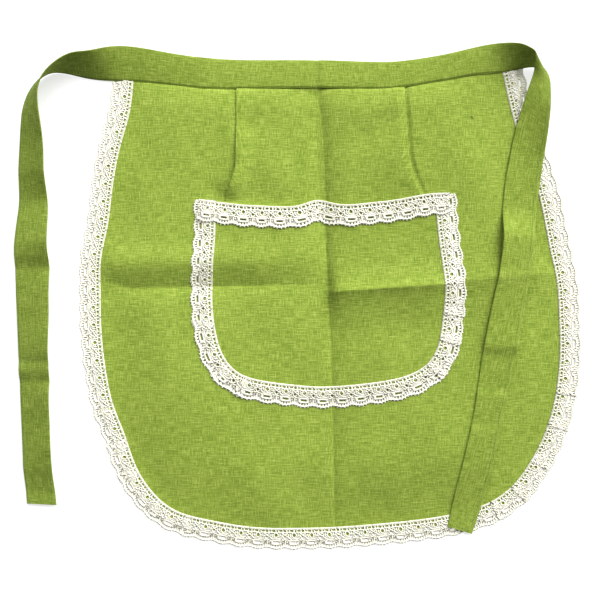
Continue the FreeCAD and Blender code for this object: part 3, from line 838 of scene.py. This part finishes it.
def laceAlong(run, path, out, footing, height, pleats, wave):
    # along and across the lace become a place beside the path; at each pleat the lace runs on, back by the
    # pleat's depth, and on again, so three layers lie on each other and nothing is stretched
    depth = sum(2 * back for middle, back in pleats)
    total = run[-1] + depth
    fine = np.arange(0, total + 0.25, 0.25)
    way, layer, used = np.ones_like(fine), np.zeros_like(fine), 0
    for middle, back in sorted(pleats):
        begin = middle + used + back / 2
        way[(fine > begin) & (fine < begin + back)] = -1
        layer += smooth((fine - begin + 1) / (back + 2)) * np.exp(-np.maximum(fine - begin - back, 0) / 9.0)
        used += 2 * back
    kernel = np.ones(7) / 7
    way = np.convolve(np.pad(way, 3, mode='edge'), kernel, mode='valid')
    reached = np.cumsum(way) * 0.25
    reached *= run[-1] / reached[-1]

    def place(along, across, up):
        share = np.clip(across / lace['width'], 0, 1.1)
        at = np.interp(along, fine, reached) + 0.25 * np.sin(along / 9.3 + across / 6)
        x, y = readRows(at, run, path).T
        nx, ny = readRows(at, run, out).T
        offset = across - footing
        x, y = x + nx * offset, y + ny * offset
        ripple = wave * share ** 1.5 * (0.5 + 0.5 * np.sin(at / 6.6 + 1.7 * np.sin(at / 37.0)))
        lifted = np.interp(along, fine, layer) * (0.34 + 0.2 * share)
        z = np.maximum(height(x, y, offset), 0.45) + up + ripple + lifted
        return np.stack([x, y, z], axis=-1)
    return total, place


def skirtLaceHeight(x, y, offset):
    on = clothHeight(x, y) + 0.62
    return on + (0.75 - on) * smooth((offset + 1) / 9)


def sideLaceHeight(x, y, offset):
    on = pocketHeight(x, y) + 0.62
    off = clothHeight(x, y) + 0.75
    return on + (off - on) * smooth((offset - pocket['margin'] + 1) / 7)


def topLaceHeight(x, y, offset):
    return pocketHeight(x, y) + 1.25


def makeSkirtLace():
    total, place = laceAlong(edgeRun, edgePath, edgeOut, lace['footing'], skirtLaceHeight,
                             lace['skirtPleats'], 1.0)
    return laceMesh('skirtLace', total, place)


def makePocketLace():
    total, place = laceAlong(pocketFootRun, pocketFoot, pocketOut, 0, sideLaceHeight,
                             lace['pocketPleats'], 0.4)
    side = laceMesh('pocketSideLace', total, place)
    total, place = laceAlong(pocketTopRun, pocketTop, outwardNormals(pocketTop), 0, topLaceHeight, [], 0.25)
    return side, laceMesh('pocketTopLace', total, place)


skirtLace = makeSkirtLace()
pocketSideLace, pocketTopLace = makePocketLace()
for piece, node in ((skirtLace, 'skirt_lace'), (pocketSideLace, 'pocket_side_lace'),
                    (pocketTopLace, 'pocket_top_lace')):
    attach(piece, 'apron')
    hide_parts(node)
print('lace ready')

stitches = {
    'lace': {'long': 2.3, 'gap': 0.9, 'wide': 0.55},
    'tie': {'long': 2.1, 'gap': 0.7, 'wide': 0.5},
    'laceRow': 0.9,  # in from the lace's straight edge
    'tieRow': 3,  # in from the tie's sewn edge
    'sink': 0.12,  # how far a stitch's ends pull into the cloth
    'pocketRow': 6.5,  # second row, which holds the pocket
    'endShare': 0.97,  # how far across the row at a tie's end goes
}


def stitchRow(line, up, size):
    # each stitch is four rings of four points: pointed ends that dip into the cloth, a round middle
    run = chordLengths(line)
    starts = np.arange(size['gap'], run[-1] - size['long'], size['long'] + size['gap'])
    rings = np.array([0, 0.22, 0.78, 1.0])
    at = starts[:, None] + rings * size['long']
    middle, lift = readRows(at, run, line), readRows(at, run, up)
    ahead = middle[:, -1:] - middle[:, :1]
    side = np.cross(ahead / np.linalg.norm(ahead, axis=-1)[..., None], lift)
    girth = np.array([0.35, 1, 1, 0.35])[None, :, None, None] * size['wide'] / 2
    turn = (np.arange(4) * np.pi / 2)[:, None]
    around = (side[:, :, None] * np.cos(turn) + lift[:, :, None] * np.sin(turn) * 0.8) * girth
    dip = np.array([-stitches['sink'], 0.1, 0.1, -stitches['sink']])[None, :, None]
    verts = (middle + lift * dip)[:, :, None] + around
    one = np.vstack([gridFaces(4, 4, wrap=True), [[0, 1, 2, 3]], [[15, 14, 13, 12]]])
    faces = one[None] + np.arange(len(starts))[:, None, None] * 16
    uv = np.broadcast_to(np.stack(np.meshgrid(rings * size['long'], np.arange(4) * 0.4, indexing='ij'), -1),
                         (len(starts), 4, 4, 2))
    return verts.reshape(-1, 3), faces.reshape(-1, 4), uv.reshape(-1, 2)


def stitchPiece(name, rows, size, material):
    parts, first = [], 0
    for line, up in rows:
        verts, faces, uv = stitchRow(line, up, size)
        parts.append((verts, faces + first, uv))
        first += len(verts)
    verts, faces, uv = (np.vstack(column) for column in zip(*parts))
    return makePiece(name, verts, faces, uv, material)


def overLace(path, out, offset, height):
    xy = path + out * offset
    z = height(xy[:, 0], xy[:, 1], np.full(len(xy), offset)) + lace['thick'] / 2 + 0.12
    up = np.tile([0.0, 0.0, 1.0], (len(xy), 1))
    return np.column_stack([xy, z]), up


def overTie(start, end, endRow):
    # along the sewn edge on both faces, and across the free end
    at = np.arange(start, end, 1.5)
    across = stitches['tieRow'] / strip['width']
    rows = []
    for face in (1, -1):
        height = face * (1.5 * strip['layer'] + strip['cloth'] / 2 + 0.08)
        normal = readRows(at, stripAt, stripNormal) * face
        rows.append((onStrip(at, np.full(len(at), across), height), normal))
        share = np.linspace(across, stitches['endShare'], 24)
        endNormal = normal[:1] if endRow < stripAt[-1] / 2 else normal[-1:]
        rows.append((onStrip(np.full(24, endRow), share, height), np.repeat(endNormal, 24, axis=0)))
    return rows


looseEnds = {  # (x, y, height above the cloth), width
    'nick': ([(149.6, -41.2, 0.5), (151, -42, 1.0), (152.6, -43.4, 0.5)], 0.9),
    'frayedTail': ([(127.5, -122.5, 2.2), (130, -120.6, 2.8), (132.6, -121, 2.2),
                    (134.4, -119.2, 1.4)], 0.55),
}


def looseThread(name, finish):
    # a round thread carried along a spline, thinning to its ends
    points, wide = looseEnds[name]
    run, line = evenPath(points, 0.4)
    line = line + np.stack([0 * run, 0 * run, clothHeight(line[:, 0], line[:, 1])], axis=1)
    turn = np.arange(6) * np.pi / 3
    girth = wide / 2 * (0.35 + 0.65 * np.sin(np.pi * run / run[-1]))
    side = outwardNormals(line[:, :2])
    level, upright = (way(turn)[None, :, None] * girth[:, None, None] for way in (np.cos, np.sin))
    verts = np.concatenate([line[:, None, :2] + side[:, None] * level, line[:, None, 2:] + upright], axis=2)
    uv = np.stack(np.meshgrid(run, np.arange(6) * 0.3, indexing='ij'), axis=-1)
    return makePiece(name, verts.reshape(-1, 3), gridFaces(len(run), 6, wrap=True), uv.reshape(-1, 2), finish)


nick = looseThread('nick', greenThread)
frayedTail = looseThread('frayedTail', creamThread)
for piece, finish in ((nick, 'green_thread'), (frayedTail, 'lace_thread')):
    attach(piece, 'apron')
skirtRow = overLace(edgePath, edgeOut, stitches['laceRow'] - lace['footing'], skirtLaceHeight)
pocketRows = [overLace(pocketFoot, pocketOut, stitches['laceRow'], sideLaceHeight),
              overLace(pocketFoot, pocketOut, stitches['pocketRow'], sideLaceHeight),
              overLace(pocketTop, outwardNormals(pocketTop), stitches['laceRow'], topLaceHeight)]
skirtStitches = stitchPiece('skirtLaceStitches', [skirtRow], stitches['lace'], creamThread)
pocketStitches = stitchPiece('pocketStitches', pocketRows, stitches['lace'], creamThread)
leftTieStitches = stitchPiece('leftTieStitches', overTie(3, leftCut - 40, 3), stitches['tie'], greenThread)
rightTieStitches = stitchPiece('rightTieStitches', overTie(rightCut + 60, stripAt[-1] - 3, stripAt[-1] - 3),
                               stitches['tie'], greenThread)
for piece, node, finish in ((skirtStitches, 'skirt_lace_stitching', 'lace_thread'),
                            (pocketStitches, 'pocket_stitching', 'lace_thread'),
                            (leftTieStitches, 'left_tie_stitching', 'green_thread'),
                            (rightTieStitches, 'right_tie_stitching', 'green_thread')):
    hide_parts(node)
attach(skirtStitches, 'apron')
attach(pocketStitches, 'apron')
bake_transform(leftTieStitches)
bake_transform(rightTieStitches)
print('stitches ready')


float(rightCut - leftCut) * 0.001
float(stripAt[-1] - rightCut) * 0.001

studio = {
    'floor': (0.46, 0.46, 0.465, 1),
    'floorGlow': 0.66,  # a light table keeps the shadows on it faint
    'sunStrength': 6.1,
    'sunSpread': 58,  # degrees
    'sunBearing': 54,  # degrees round from +X towards +Y
    'sunHeight': 32,
    'fillPower': 4,
    'fillSize': 0.8,
    'fillFrom': (-0.45, 0.55, 0.8),  # metres from the middle of the object
    'skyStrength': 0.12,
    'cameraHeight': 0.835,
    'lens': 50,
    'cameraShift': (0.0002, -0.0039),  # from the middle of the object's box
    'floorHalf': 6.0,
}


def makeStudio():
    low, high = (np.array(corner) for corner in cadBounds)
    centre = (low + high) / 2
    floorMaterial, wire = newMaterial('paleFloor')
    place = wire.node('ShaderNodeTexCoord', None, None, 3)
    grain = wire.noise(place, 3, 2)
    colour = grain.mixed(studio['floor'], [c * 0.985 for c in studio['floor'][:3]] + [1])
    bumpy = wire.node('ShaderNodeBump', None, {'Strength': 0.02, 'Height': grain})
    finishMaterial(wire, colour, 0.6, bumpy, {'Specular IOR Level': 0.1, 'Emission Color': (1, 1, 1, 1),
                                              'Emission Strength': studio['floorGlow']})
    side = studio['floorHalf']
    corner = np.array([[-side, -side, 0], [side, -side, 0], [side, side, 0], [-side, side, 0]])
    floor = makePiece('floor', corner, [[0, 1, 2, 3]], corner[:, :2], floorMaterial, 1)
    world = bpy.data.worlds.new('studioAir')
    bpy.context.scene.world = world
    world.use_nodes = True
    air = world.node_tree.nodes['Background'].inputs
    air['Color'].default_value = (0.97, 0.98, 1.0, 1)
    air['Strength'].default_value = studio['skyStrength']
    target = Vector((float(centre[0]), float(centre[1]), 0))
    key = bpy.data.lights.new('window', 'SUN')
    key.energy = studio['sunStrength']
    key.angle = math.radians(studio['sunSpread'])
    bearing, rise = math.radians(studio['sunBearing']), math.radians(studio['sunHeight'])
    keyWay = Vector((math.cos(rise) * math.cos(bearing), math.cos(rise) * math.sin(bearing), math.sin(rise)))
    fill = bpy.data.lights.new('fill', 'AREA')
    fill.energy = studio['fillPower']
    fill.shape = 'DISK'
    fill.size = studio['fillSize']
    for lamp, place in ((key, target + 2 * keyWay), (fill, target + Vector(studio['fillFrom']))):
        holder = bpy.data.objects.new(lamp.name, lamp)
        holder.location = place
        holder.rotation_euler = (target - place).to_track_quat('-Z', 'Y').to_euler()
        bpy.context.scene.collection.objects.link(holder)
    view = bpy.data.cameras.new('overhead')
    view.lens = studio['lens']
    view.sensor_width = 36
    camera = bpy.data.objects.new('overhead', view)
    shiftX, shiftY = studio['cameraShift']
    camera.location = (centre[0] + shiftX, centre[1] + shiftY, studio['cameraHeight'])
    bpy.context.scene.collection.objects.link(camera)
    bpy.context.scene.camera = camera
    bpy.context.scene.view_settings.view_transform = 'Standard'


makeStudio()
print('studio ready')
